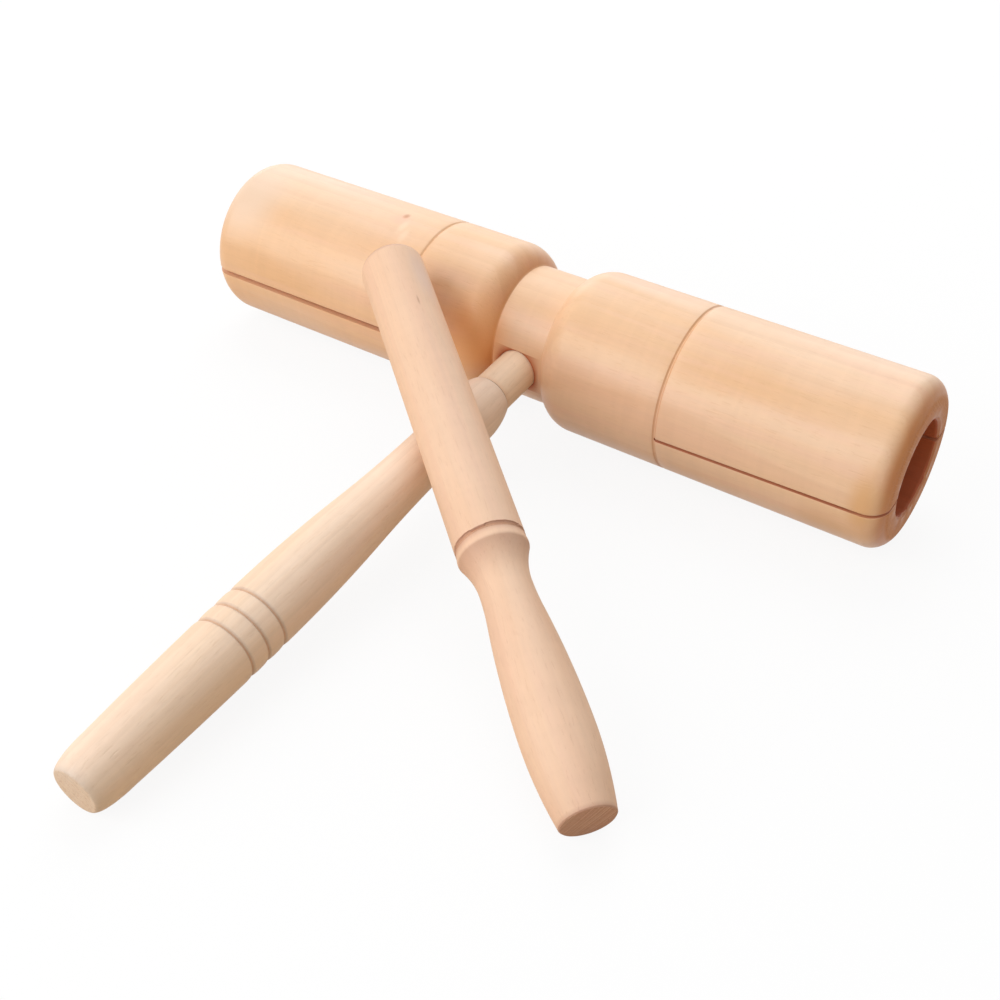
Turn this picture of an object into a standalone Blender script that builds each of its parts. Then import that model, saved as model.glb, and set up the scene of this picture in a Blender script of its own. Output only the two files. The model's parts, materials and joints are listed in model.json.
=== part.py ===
"""Two-tone wood block: a turned body with two bored tone chambers, a handle and a loose beater.

The body lies on its side with the butt of its handle on the floor, and the beater leans across
the handle. Metres, +Z up, body along X, handle towards -Y. The origin is on the floor, under the
middle of the whole set's box.
"""
import bpy
import bmesh
import numpy as np
from math import acos, asin, atan2, ceil, cos, hypot, pi, radians, sin
from mathutils import Matrix, Vector

# Tone body
body_length = 0.2110
chamber_diameter = 0.0450
chamber_wall = 0.0102
neck_step = 0.0046
neck_length = 0.0152
shoulder_radius = 0.0088
end_round_radius = 0.0056
end_round_drop = 0.0024
rim_crown_width = 0.0027
rim_crown_height = 0.0010
bore_mouth_round = 0.0011

# Saw kerfs, from each end to the groove that stops them, and the bores behind them
right_kerf_length = 0.0609
left_kerf_length = 0.0700
kerf_width = 0.0012
bore_past_groove = 0.0080
chamber_groove_width = 0.0012
chamber_groove_depth = 0.0007

# Handle dowel
dowel_diameter = 0.0114
dowel_end_chamfer = 0.0005
dowel_in_neck = 0.0220
dowel_showing = 0.0135
dowel_in_grip = 0.0130

# Handle grip, stretch by stretch from the dowel to the butt
grip_lip = 0.0005
lip_to_bulb = 0.0092
bulb_diameter = 0.0160
bulb_to_waist = 0.0152
grip_waist_diameter = 0.0131
waist_to_belly = 0.0620
grip_belly_diameter = 0.0174
belly_to_heel = 0.0504
grip_heel_drop = 0.0011
heel_to_butt = 0.0098
grip_butt_drop = 0.0021
belly_to_first_groove = 0.0054
grip_groove_pitch = 0.0053
grip_groove_count = 3
grip_groove_width = 0.0016
grip_groove_depth = 0.0006

# Beater, stretch by stretch from the butt to the tip
beater_butt_diameter = 0.0126
beater_butt_chamfer = 0.0003
butt_to_belly = 0.0205
beater_belly_diameter = 0.0166
belly_to_waist = 0.0365
waist_turn_share = 0.78
beater_waist_diameter = 0.0123
waist_to_bead = 0.0099
bead_diameter = 0.0171
bead_bevel_length = 0.0018
bead_bevel_drop = 0.0003
beater_groove_width = 0.0013
beater_groove_depth = 0.0006
head_diameter = 0.0168
head_length = 0.0916
tip_length = 0.0045
tip_flat_diameter = 0.0048

# How the beater lies: the crossing's place on each stick, and the way it points in plan
cross_on_handle = 0.0539
cross_on_beater = 0.1167
beater_azimuth = radians(141.0)

# Clearances
glue_gap = 0.0003
rest_gap = 0.0003

# Facets
body_segments = 48
stick_segments = 28
arc_steps = 5
sweep_steps = 7
smooth_below = radians(32.0)

# Finishes: sRGB colour and roughness
body_finish = ((0.94, 0.80, 0.64), 0.42)
dowel_finish = ((0.91, 0.80, 0.68), 0.62)
grip_finish = ((0.93, 0.83, 0.73), 0.62)
beater_finish = ((0.94, 0.80, 0.69), 0.66)

chamber_radius = chamber_diameter / 2
bore_radius = chamber_radius - chamber_wall
neck_radius = chamber_radius - neck_step
dowel_radius = dowel_diameter / 2
socket_radius = dowel_radius + glue_gap
grip_start = neck_radius + dowel_showing


def steps_between(start, end, steps):
    """Evenly spaced values from start to end, both included."""
    return [start + (end - start) * step / steps for step in range(steps + 1)]


def round_turn(radius, drop):
    """Angle through which a round edge turns while it falls by drop."""
    return acos(1 - min(drop / radius, 1.0))


def round_edge(place, side, outward, radius, drop):
    """Round edge that leaves a level side at a place and falls by drop."""
    return [
        (place + outward * radius * sin(angle), side - radius * (1 - cos(angle)))
        for angle in steps_between(0.0, round_turn(radius, drop), arc_steps)
    ]


def flare(level, other):
    """Parabola that is level at its first end."""
    return [
        (level[0] + (other[0] - level[0]) * share, level[1] + (other[1] - level[1]) * share**2)
        for share in steps_between(0.0, 1.0, arc_steps)
    ]


def ogee(start, end, turn_share=0.5):
    """S-shaped sweep, level at both ends, of two parabolas that meet at a share of its length."""
    points = []
    for share in steps_between(0.0, 1.0, sweep_steps):
        if share < turn_share:
            swing = share**2 / turn_share
        else:
            swing = 1 - (1 - share) ** 2 / (1 - turn_share)
        points.append((start[0] + (end[0] - start[0]) * share, start[1] + (end[1] - start[1]) * swing))
    return points


def quarter_oval(level, upright):
    """Quarter of an ellipse, level at its first end and upright at its second."""
    return [
        (
            level[0] + (upright[0] - level[0]) * sin(angle),
            upright[1] + (level[1] - upright[1]) * cos(angle),
        )
        for angle in steps_between(0.0, pi / 2, arc_steps)
    ]


def groove(place, side, width, depth, along=1):
    """V groove in a level side."""
    return [
        (place - along * width / 2, side),
        (place, side - depth),
        (place + along * width / 2, side),
    ]


def half_side(outward, kerf_length):
    """Outside of one chamber, from the edge of the neck to the flat of the rim."""
    end = outward * body_length / 2
    neck_edge = outward * neck_length / 2
    side_start = neck_edge + outward * shoulder_radius * sin(round_turn(shoulder_radius, neck_step))
    crease = end - outward * rim_crown_height
    side_end = crease - outward * end_round_radius * sin(round_turn(end_round_radius, end_round_drop))
    groove_place = end - outward * kerf_length
    flat_radius = chamber_radius - end_round_drop - rim_crown_width
    points = [(neck_edge, neck_radius)]
    points += reversed(round_edge(side_start, chamber_radius, -outward, shoulder_radius, neck_step))
    points += groove(groove_place, chamber_radius, chamber_groove_width, chamber_groove_depth, outward)
    points += round_edge(side_end, chamber_radius, outward, end_round_radius, end_round_drop)
    points += [
        (end - outward * rim_crown_height * share**2, flat_radius + rim_crown_width * share)
        for share in (0.5, 0.0)
    ]
    return points


def half_bore(outward, kerf_length):
    """Inside of one chamber, from the flat of the rim to the middle of the bore's bottom."""
    end = outward * body_length / 2
    bottom = end - outward * (kerf_length + bore_past_groove)
    mouth = [
        (
            end - outward * bore_mouth_round * (1 - cos(angle)),
            bore_radius + bore_mouth_round * (1 - sin(angle)),
        )
        for angle in steps_between(0.0, pi / 2, arc_steps)
    ]
    return mouth + [(bottom, bore_radius), (bottom, 0.0)]


def body_side():
    """Outside of the tone body, from the flat of its left rim to the flat of its right one."""
    return list(reversed(half_side(-1, left_kerf_length))) + half_side(1, right_kerf_length)


def body_outline():
    """Whole outline of the tone body, from the bottom of the left bore to that of the right one."""
    left_bore = half_bore(-1, left_kerf_length)
    right_bore = half_bore(1, right_kerf_length)
    return list(reversed(left_bore)) + body_side() + right_bore


def dowel_outline():
    """Plain dowel with chamfered ends, from its end in the neck to its end in the grip."""
    inner = neck_radius - dowel_in_neck + glue_gap
    outer = grip_start + dowel_in_grip - glue_gap
    return [
        (inner, 0.0),
        (inner, dowel_radius - dowel_end_chamfer),
        (inner + dowel_end_chamfer, dowel_radius),
        (outer - dowel_end_chamfer, dowel_radius),
        (outer, dowel_radius - dowel_end_chamfer),
        (outer, 0.0),
    ]


def grip_side():
    """Outside of the grip, from the lip at the dowel to the edge of the butt."""
    lip = (grip_start, socket_radius + grip_lip)
    bulb = (lip[0] + lip_to_bulb, bulb_diameter / 2)
    waist = (bulb[0] + bulb_to_waist, grip_waist_diameter / 2)
    belly = (waist[0] + waist_to_belly, grip_belly_diameter / 2)
    heel = (belly[0] + belly_to_heel, belly[1] - grip_heel_drop)
    butt = (heel[0] + heel_to_butt, heel[1] - grip_butt_drop)

    def below_belly(place):
        return belly[1] - grip_heel_drop * ((place - belly[0]) / belly_to_heel) ** 2

    points = list(reversed(flare(bulb, lip)))
    points += ogee(bulb, waist)[1:]
    points += ogee(waist, belly)[1:]
    for index in range(grip_groove_count):
        place = belly[0] + belly_to_first_groove + index * grip_groove_pitch
        points += groove(place, below_belly(place), grip_groove_width, grip_groove_depth)
    last_edge = points[-1][0]
    points += [(place, below_belly(place)) for place in steps_between(last_edge, heel[0], arc_steps)[1:]]
    points += quarter_oval(heel, butt)[1:]
    return points


def grip_outline():
    """Grip with its socket, from the bottom of the socket to the middle of the butt."""
    socket_end = grip_start + dowel_in_grip
    side = grip_side()
    return [
        (socket_end, 0.0),
        (socket_end, socket_radius),
        (grip_start, socket_radius),
        *side,
        (side[-1][0], 0.0),
    ]


def beater_outline():
    """Beater, from the middle of its butt to the middle of its tip."""
    butt_radius = beater_butt_diameter / 2
    belly = (butt_to_belly, beater_belly_diameter / 2)
    waist = (belly[0] + belly_to_waist, beater_waist_diameter / 2)
    bead = (waist[0] + waist_to_bead, bead_diameter / 2)
    bead_top = bead[0] + bead_bevel_length
    head = (bead_top + beater_groove_width, head_diameter / 2)
    tip_start = (head[0] + head_length, head[1])
    tip_end = (tip_start[0] + tip_length, tip_flat_diameter / 2)
    points = [(0.0, 0.0), (0.0, butt_radius - beater_butt_chamfer)]
    points += reversed(flare(belly, (beater_butt_chamfer, butt_radius)))
    points += ogee(belly, waist, waist_turn_share)[1:]
    points += flare(waist, bead)[1:]
    points.append((bead_top, bead[1] - bead_bevel_drop))
    points.append((bead_top + beater_groove_width / 2, head[1] - beater_groove_depth))
    points.append(head)
    points += quarter_oval(tip_start, tip_end)
    points.append((tip_end[0], 0.0))
    return points


def linear(channel):
    """One sRGB channel as the linear value that a shader takes."""
    if channel <= 0.04045:
        return channel / 12.92
    return ((channel + 0.055) / 1.055) ** 2.4


def wood_material(name, finish):
    """Plain wood with one colour and one roughness."""
    colour, roughness = finish
    material = bpy.data.materials.new(name)
    material.use_nodes = True
    shader = material.node_tree.nodes["Principled BSDF"]
    shader.inputs["Base Color"].default_value = (*[linear(channel) for channel in colour], 1.0)
    shader.inputs["Roughness"].default_value = roughness
    shader.inputs["Metallic"].default_value = 0.0
    return material


def turned(name, outline, segments, finish):
    """Solid that an outline of (place, radius) points makes when it spins about local X."""
    shape = bmesh.new()
    verts = [shape.verts.new((place, radius, 0.0)) for place, radius in outline]
    edges = [shape.edges.new(pair) for pair in zip(verts, verts[1:])]
    bmesh.ops.spin(
        shape,
        geom=verts + edges,
        cent=(0.0, 0.0, 0.0),
        axis=(1.0, 0.0, 0.0),
        angle=2 * pi,
        steps=segments,
        use_merge=True,
    )
    bmesh.ops.remove_doubles(shape, verts=shape.verts, dist=0.000001)
    bmesh.ops.recalc_face_normals(shape, faces=shape.faces)
    mesh = bpy.data.meshes.new(name)
    shape.to_mesh(mesh)
    shape.free()
    mesh.shade_smooth()
    mesh.set_sharp_from_angle(angle=smooth_below)
    piece = bpy.data.objects.new(name, mesh)
    piece.data.materials.append(wood_material(name + "_wood", finish))
    bpy.context.collection.objects.link(piece)
    return piece


def cutter(name, parent):
    """Empty mesh object that is only used to cut."""
    mesh = bpy.data.meshes.new(name)
    tool = bpy.data.objects.new(name, mesh)
    tool.hide_render = True
    tool.display_type = "WIRE"
    tool.parent = parent
    bpy.context.collection.objects.link(tool)
    return tool


def cut(piece, tool):
    """Takes a cutter's shape out of a piece."""
    boolean = piece.modifiers.new(tool.name, "BOOLEAN")
    boolean.operation = "DIFFERENCE"
    boolean.solver = "EXACT"
    boolean.object = tool


def kerf_cutter(name, parent, outward, kerf_length):
    """Thin box as long as a saw kerf, which passes through both walls of its chamber."""
    tool = cutter(name, parent)
    spare = kerf_width
    shape = bmesh.new()
    bmesh.ops.create_cube(shape, size=1.0)
    bmesh.ops.scale(
        shape, vec=(kerf_length + spare, chamber_diameter + 2 * spare, kerf_width), verts=shape.verts
    )
    middle = outward * (body_length + spare - kerf_length) / 2
    bmesh.ops.translate(shape, vec=(middle, 0.0, 0.0), verts=shape.verts)
    shape.to_mesh(tool.data)
    shape.free()
    return tool


def socket_cutter(name, parent):
    """Round hole for the dowel, from inside the neck to outside it."""
    tool = cutter(name, parent)
    bottom = neck_radius - dowel_in_neck
    depth = chamber_radius - bottom
    shape = bmesh.new()
    bmesh.ops.create_cone(
        shape,
        cap_ends=True,
        segments=stick_segments,
        radius1=socket_radius,
        radius2=socket_radius,
        depth=depth,
    )
    bmesh.ops.rotate(shape, cent=(0, 0, 0), matrix=Matrix.Rotation(pi / 2, 3, "X"), verts=shape.verts)
    bmesh.ops.translate(shape, vec=(0.0, -(bottom + depth / 2), 0.0), verts=shape.verts)
    shape.to_mesh(tool.data)
    shape.free()
    return tool


def handle_tilt():
    """Angle by which the block rolls until its grip meets the floor."""
    tilts = []
    for place, radius in grip_side():
        reach = hypot(place, radius)
        if reach > chamber_radius:
            tilts.append(asin(chamber_radius / reach) - atan2(radius, place))
    return min(tilts)


def balls_along(side, origin, direction, spacing=0.0005):
    """Centres and radii of balls that together hold a turned piece."""
    places, radii = np.array(side).T
    along = np.linspace(places[0], places[-1], ceil((places[-1] - places[0]) / spacing) + 1)
    centres = np.array(origin) + along[:, None] * np.array(direction)
    return centres, np.interp(along, places, radii)


def least_gap(first, second):
    """Least distance between two turned pieces, each given as balls along its axis."""
    distances = np.linalg.norm(first[0][:, None] - second[0][None], axis=2)
    return float((distances - first[1][:, None] - second[1][None]).min())


def beater_pose(pitch, tilt):
    """Where the beater's butt lies and where the beater points, at a pitch that lifts its tip."""
    outline = beater_outline()
    heading = Vector((cos(beater_azimuth), sin(beater_azimuth), 0.0))
    direction = heading * cos(pitch) + Vector((0.0, 0.0, sin(pitch)))
    crossing = Vector((0.0, -cross_on_handle * cos(tilt), 0.0))
    lowest = min(place * sin(pitch) - radius * cos(pitch) for place, radius in outline)
    butt = crossing - heading * cross_on_beater * cos(pitch) - Vector((0.0, 0.0, lowest))
    return butt, direction


def resting_pitch(tilt):
    """Least pitch at which the beater clears the handle and the body, with its butt on the floor."""
    centre = (0.0, 0.0, chamber_radius)
    handle_direction = (0.0, -cos(tilt), -sin(tilt))
    handle_side = [(neck_radius, dowel_radius), (grip_start, dowel_radius)] + grip_side()
    handle_balls = balls_along(handle_side, centre, handle_direction)
    body_balls = balls_along(body_side(), centre, (1.0, 0.0, 0.0))
    beater_side = beater_outline()[1:-1]
    low, high = 0.0, pi / 4
    for _ in range(24):
        pitch = (low + high) / 2
        beater_balls = balls_along(beater_side, *beater_pose(pitch, tilt))
        if min(least_gap(beater_balls, handle_balls), least_gap(beater_balls, body_balls)) < rest_gap:
            low = pitch
        else:
            high = pitch
    return high


def centre_on_floor(pieces, movers):
    """Shifts everything so that the origin is under the middle of the whole set's box."""
    bpy.context.view_layer.update()
    graph = bpy.context.evaluated_depsgraph_get()
    corners = []
    for piece in pieces:
        evaluated = piece.evaluated_get(graph)
        corners += [evaluated.matrix_world @ vertex.co for vertex in evaluated.data.vertices]
    middle_x = (min(corner.x for corner in corners) + max(corner.x for corner in corners)) / 2
    middle_y = (min(corner.y for corner in corners) + max(corner.y for corner in corners)) / 2
    for mover in movers:
        mover.location -= Vector((middle_x, middle_y, 0.0))


for old in list(bpy.data.objects):
    bpy.data.objects.remove(old, do_unlink=True)

tilt = handle_tilt()
block = bpy.data.objects.new("block", None)
block.location = (0.0, 0.0, chamber_radius)
block.rotation_euler = (tilt, 0.0, 0.0)
bpy.context.collection.objects.link(block)

tone_body = turned("tone_body", body_outline(), body_segments, body_finish)
tone_body.parent = block
cut(tone_body, kerf_cutter("left_kerf", block, -1, left_kerf_length))
cut(tone_body, kerf_cutter("right_kerf", block, 1, right_kerf_length))
cut(tone_body, socket_cutter("dowel_socket", block))

handle_dowel = turned("handle_dowel", dowel_outline(), stick_segments, dowel_finish)
handle_grip = turned("handle_grip", grip_outline(), stick_segments, grip_finish)
for stick in (handle_dowel, handle_grip):
    stick.parent = block
    stick.rotation_euler = (0.0, 0.0, -pi / 2)

pitch = resting_pitch(tilt)
beater = turned("beater", beater_outline(), stick_segments, beater_finish)
beater.location = beater_pose(pitch, tilt)[0]
beater.rotation_euler = (0.0, -pitch, beater_azimuth)

centre_on_floor((tone_body, handle_dowel, handle_grip, beater), (block, beater))
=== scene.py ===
# Two-tone wood block, its handle and its beater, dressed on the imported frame.
# Every piece is shaped in its own space, with local X along its axis and along the grain.
import bpy
import bmesh
import json
from math import acos, asin, cos, hypot, pi, radians, sin, sqrt
from mathutils import Matrix, Vector, noise


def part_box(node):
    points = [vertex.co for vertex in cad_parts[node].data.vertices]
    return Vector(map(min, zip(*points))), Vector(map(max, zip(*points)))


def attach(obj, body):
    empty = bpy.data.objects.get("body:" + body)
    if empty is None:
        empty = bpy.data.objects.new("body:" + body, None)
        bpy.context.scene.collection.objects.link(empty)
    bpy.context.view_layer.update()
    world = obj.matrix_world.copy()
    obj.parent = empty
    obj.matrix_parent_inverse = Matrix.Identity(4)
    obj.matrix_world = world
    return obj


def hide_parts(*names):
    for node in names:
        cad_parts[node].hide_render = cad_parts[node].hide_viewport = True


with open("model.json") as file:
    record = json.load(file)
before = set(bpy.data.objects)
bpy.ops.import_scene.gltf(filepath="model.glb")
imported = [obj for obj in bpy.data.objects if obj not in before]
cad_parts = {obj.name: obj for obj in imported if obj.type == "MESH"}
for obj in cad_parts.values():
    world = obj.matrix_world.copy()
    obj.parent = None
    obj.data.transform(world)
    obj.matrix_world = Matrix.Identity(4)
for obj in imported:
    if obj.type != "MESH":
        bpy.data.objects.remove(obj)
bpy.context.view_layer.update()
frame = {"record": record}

bpy.context.scene.view_settings.view_transform = "Standard"

camera = {
    "place": (0.16739, -0.20087, 0.22463),
    "turn": (51.2814, -0.634, 33.9139),
    "focalLength": 49.478,
    "sensor": 36.0,
}


def addCamera(values):
    lens = bpy.data.cameras.new("viewCamera")
    lens.sensor_width = values["sensor"]
    lens.sensor_fit = "HORIZONTAL"
    lens.lens = values["focalLength"]
    lens.clip_start = 0.01
    holder = bpy.data.objects.new("viewCamera", lens)
    holder.location = values["place"]
    holder.rotation_euler = [radians(angle) for angle in values["turn"]]
    bpy.context.scene.collection.objects.link(holder)
    bpy.context.scene.camera = holder


addCamera(camera)

# Where the pieces lie, from the frame
bodyLow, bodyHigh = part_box("tone_body")
mounts = {mount["name"]: mount for mount in frame["record"]["mounts"]}
blockCentre = (bodyLow + bodyHigh) / 2
handleAxis = Vector(mounts["handle_butt_face"]["axis"]).normalized()
beaterAxis = -Vector(mounts["beater_butt_face"]["axis"]).normalized()
beaterButt = Vector(mounts["beater_butt_face"]["pos_m"])


def lyingAlong(origin, forward):
    # Local X forward, local Y level, local Z as upright as it can be
    side = Vector((0, 0, 1)).cross(forward).normalized()
    turn = Matrix((forward, side, forward.cross(side))).transposed()
    return Matrix.Translation(origin) @ turn.to_4x4()


handlePlace = lyingAlong(blockCentre, handleAxis)
beaterPlace = lyingAlong(beaterButt, beaterAxis)
bodyAxis = Vector((1, 0, 0))
bodyTurn = Matrix((bodyAxis, -handleAxis, bodyAxis.cross(-handleAxis))).transposed()
bodyPlace = Matrix.Translation(blockCentre) @ bodyTurn.to_4x4()


# Two points nearer than the first are one, and the second is the slack for comparing places, in metres
weldDistance = 0.0000002
slack = 0.00001


# A turner's curves, as lists of (place along the axis, radius)
def evenly(start, end, steps):
    return [start + (end - start) * step / steps for step in range(steps + 1)]


def roundTurn(radius, drop):
    return acos(1 - min(drop / radius, 1.0))


def roundEdge(place, side, outward, radius, drop, steps=20):
    return [
        (place + outward * radius * sin(angle), side - radius * (1 - cos(angle)))
        for angle in evenly(0.0, roundTurn(radius, drop), steps)
    ]


def flare(level, other, steps=20):
    return [
        (level[0] + (other[0] - level[0]) * share, level[1] + (other[1] - level[1]) * share**2)
        for share in evenly(0.0, 1.0, steps)
    ]


def ogee(start, end, turnShare=0.5, steps=28):
    points = []
    for share in evenly(0.0, 1.0, steps):
        if share < turnShare:
            swing = share**2 / turnShare
        else:
            swing = 1 - (1 - share) ** 2 / (1 - turnShare)
        points.append((start[0] + (end[0] - start[0]) * share, start[1] + (end[1] - start[1]) * swing))
    return points


def quarterOval(level, upright, steps=20):
    return [
        (
            level[0] + (upright[0] - level[0]) * sin(angle),
            upright[1] + (level[1] - upright[1]) * cos(angle),
        )
        for angle in evenly(0.0, pi / 2, steps)
    ]


def vGroove(place, side, width, depth, along=1):
    # The corner of a skew leaves a V with broken lips and a narrow floor
    shares = ((1.0, 0.0), (0.86, 0.07), (0.66, 0.30), (0.16, 0.93), (0.0, 1.0))
    first = [(place - along * width / 2 * out, side - depth * down) for out, down in shares]
    last = [(place + along * width / 2 * out, side - depth * down) for out, down in shares[-2::-1]]
    return first + last


def easeCorner(points, corner, reach, steps=8):
    # Rounds one corner of an outline with a curve that leaves both straight lines at its reach
    at = points[corner]
    ends = []
    for other in (points[corner - 1], points[corner + 1]):
        share = min(1.0, reach / hypot(other[0] - at[0], other[1] - at[1]))
        ends.append(tuple(a + (b - a) * share for a, b in zip(at, other)))
    curve = []
    for share in evenly(0.0, 1.0, steps):
        rest = 1 - share
        trios = zip(ends[0], at, ends[1])
        curve.append(tuple(a * rest**2 + 2 * b * share * rest + c * share**2 for a, b, c in trios))
    return points[:corner] + curve + points[corner + 1:]


def refine(points, longest=0.002):
    fine = [points[0]]
    for start, end in zip(points, points[1:]):
        pieces = max(1, int(hypot(end[0] - start[0], end[1] - start[1]) / longest))
        for share in evenly(0, 1, pieces)[1:]:
            fine.append(tuple(a + (b - a) * share for a, b in zip(start, end)))
    return fine


# Meshes
def addPiece(name, verts, faces):
    mesh = bpy.data.meshes.new(name)
    mesh.from_pydata(verts, [], faces)
    shape = bmesh.new()
    shape.from_mesh(mesh)
    bmesh.ops.remove_doubles(shape, verts=shape.verts, dist=weldDistance)
    bmesh.ops.recalc_face_normals(shape, faces=shape.faces)
    shape.to_mesh(mesh)
    shape.free()
    piece = bpy.data.objects.new(name, mesh)
    bpy.context.scene.collection.objects.link(piece)
    return piece


def turned(name, outline, segments):
    # Rings of points joined by quads, with a fan where the outline meets the axis
    verts, faces, rings = [], [], []
    for place, radius in outline:
        if radius < slack:
            rings.append([len(verts)] * segments)
            verts.append((place, 0.0, 0.0))
            continue
        rings.append(range(len(verts), len(verts) + segments))
        for step in range(segments):
            angle = 2 * pi * step / segments
            verts.append((place, radius * cos(angle), radius * sin(angle)))
    for ring, after in zip(rings, rings[1:]):
        for step in range(segments):
            other = (step + 1) % segments
            corners = (ring[step], ring[other], after[other], after[step])
            faces.append(tuple(dict.fromkeys(corners)))
    return addPiece(name, verts, faces)


def settle(piece, place, shadeAndBareWoodAt, endTintAt=lambda x, lean: lean, sharpAngle=32.0):
    # Keeps each point's place in the wood, its lean to the grain, and its painted shade and bare-wood tint in
    # cuts and joints
    mesh = piece.data
    mesh.shade_smooth()
    mesh.set_sharp_from_angle(angle=radians(sharpAngle))
    for name, kind in (("grainPlace", "FLOAT_VECTOR"), ("endGrain", "FLOAT"), ("shadeAndBareWood", "FLOAT")):
        mesh.attributes.new(name, kind, "POINT")
    grain, lean, shadeAndBareWood = (mesh.attributes[name].data for name in ("grainPlace", "endGrain", "shadeAndBareWood"))
    for index, vertex in enumerate(mesh.vertices):
        grain[index].vector = vertex.co
        lean[index].value = endTintAt(vertex.co.x, abs(vertex.normal.x))
        shadeAndBareWood[index].value = shadeAndBareWoodAt(vertex.co.x, hypot(vertex.co.y, vertex.co.z), vertex.co)
    mesh.transform(place)
    return piece


# Tone body
body = {
    "length": bodyHigh.x - bodyLow.x,
    "radius": 0.0225,
    "boreRadius": 0.0123,
    "neckStep": 0.0046,
    "neckLength": 0.0152,
    "neckEdgeRun": 0.0003,
    "shoulderRadius": 0.0088,
    "endRoundRadius": 0.0056,
    "endRoundDrop": 0.0024,
    "rimCrownWidth": 0.0027,
    "rimCrownHeight": 0.0010,
    "mouthRound": 0.0011,
    "rightKerf": 0.0609,
    "leftKerf": 0.0700,
    "rightKerfWidth": 0.0009,
    "leftKerfWidth": 0.0016,
    "rightKerfDrop": 0.0014,
    "leftKerfDrop": -0.0004,
    "rightKerfShade": 0.78,
    "leftKerfShade": 0.29,
    "kerfLip": 0.00012,
    "kerfLipRound": 0.29,
    "borePastGroove": 0.0080,
    "grooveWidth": 0.0012,
    "grooveDepth": 0.0004,
    "segments": 112,
    "socketSegments": 96,
    "sandingDepth": 0.00004,
    "sandingWaves": (25, 80),
    "boreChatter": 0.00034,
    "chatterWaves": (160, 420),
    "mouthChatter": 0.95,
    "mouthShade": 0.52,
    # How far bare end grain shows and how late it sets in as the surface turns, also painting shade at the
    # left shoulder and right end
    "leftEndGrain": (0.22, 1),
    "leftShoulderGrain": (0.6, 1),
    "rightShoulderGrain": (0.14, 1),
    "rightEndGrain": (1.0, 2),
}
body["neckRadius"] = body["radius"] - body["neckStep"]
body["boreWall"] = body["boreRadius"] + 1.2 * body["boreChatter"]  # with its chatter


def sideOf(x):
    return "right" if x > 0 else "left"


def halfBody(outward, kerf):
    # From the neck over the rim to the bottom of the bore: (place, radius, cut by the kerf)
    end = outward * body["length"] / 2
    radius, shoulder, step = body["radius"], body["shoulderRadius"], body["neckStep"]
    edge, drop, crown = body["endRoundRadius"], body["endRoundDrop"], body["rimCrownHeight"]
    mouth, bore = body["mouthRound"], body["boreRadius"]
    neckEdge = outward * body["neckLength"] / 2
    sideStart = neckEdge + outward * shoulder * sin(roundTurn(shoulder, step))
    sideEnd = end - outward * (crown + edge * sin(roundTurn(edge, drop)))
    grooveAt = end - outward * kerf
    flatRadius = radius - drop - body["rimCrownWidth"]
    outside = [(neckEdge - outward * body["neckEdgeRun"], body["neckRadius"]), (neckEdge, body["neckRadius"])]
    outside += reversed(roundEdge(sideStart, radius, -outward, shoulder, step))
    outside += vGroove(grooveAt, radius, body["grooveWidth"], body["grooveDepth"], outward)
    outside += roundEdge(sideEnd, radius, outward, edge, drop)
    outside += [
        (end - outward * crown * share**2, flatRadius + body["rimCrownWidth"] * share)
        for share in evenly(1.0, 0.0, 8)[1:]
    ]
    inside = [
        (end - outward * mouth * (1 - cos(angle)), bore + mouth * (1 - sin(angle)))
        for angle in evenly(0.0, pi / 2, 10)
    ]
    bottom = end - outward * (kerf + body["borePastGroove"])
    inside += [(grooveAt, bore), (bottom, bore), (bottom, bore / 3), (bottom, 0.0)]
    points = refine(outside + inside)
    return [(x, r, abs(x) >= abs(grooveAt) - weldDistance) for x, r in points]


def kerfHalf(x):
    return body[sideOf(x) + "KerfWidth"] / 2


def kerfMiddle(x):
    # The saw wandered off the middle on its way in, straight from the rim to the groove
    kerf = body[sideOf(x) + "Kerf"]
    fromRim = body["length"] / 2 - abs(x)
    wandered = min(fromRim / kerf, abs(x) / (body["length"] / 2 - kerf))
    return -body[sideOf(x) + "KerfDrop"] * wandered


def bodyColumns():
    # Lines along the body: beside the kerfs, at a share of the way round, and down the middle of each kerf
    lip = body["kerfLip"]
    middle = body["kerfLipRound"] * lip
    lipLines = [(0.0, lip), (middle, middle), (lip, 0.0)]
    columns = []
    for up in (1, -1):
        columns += [("beside", up, beside, down) for beside, down in lipLines]
        columns += [("share", up, share, 0.0) for share in evenly(0.0, 1.0, body["segments"])[1:-1]]
        columns += [("beside", -up, beside, down) for beside, down in reversed(lipLines)]
        columns.append(("middle", -up, 0.0, 0.0))
    return columns


def columnPoint(column, turn, x, radius, normal, kerfed):
    # turn is 1 on the upper half and -1 on the lower one
    kind, side, value, down = column
    depth = down if kerfed else 0.0
    x -= depth * normal[0]
    radius -= depth * normal[1]
    if kind == "share":
        edge = asin((kerfHalf(x) + body["kerfLip"] + side * kerfMiddle(x)) / radius)
        angle = edge + (pi - 2 * edge) * value
        return (x, side * radius * cos(angle), side * radius * sin(angle))
    z = kerfMiddle(x) + (turn * (kerfHalf(x) + value) if kind == "beside" else 0.0)
    return (x, side * sqrt(radius**2 - z**2), z)


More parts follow.
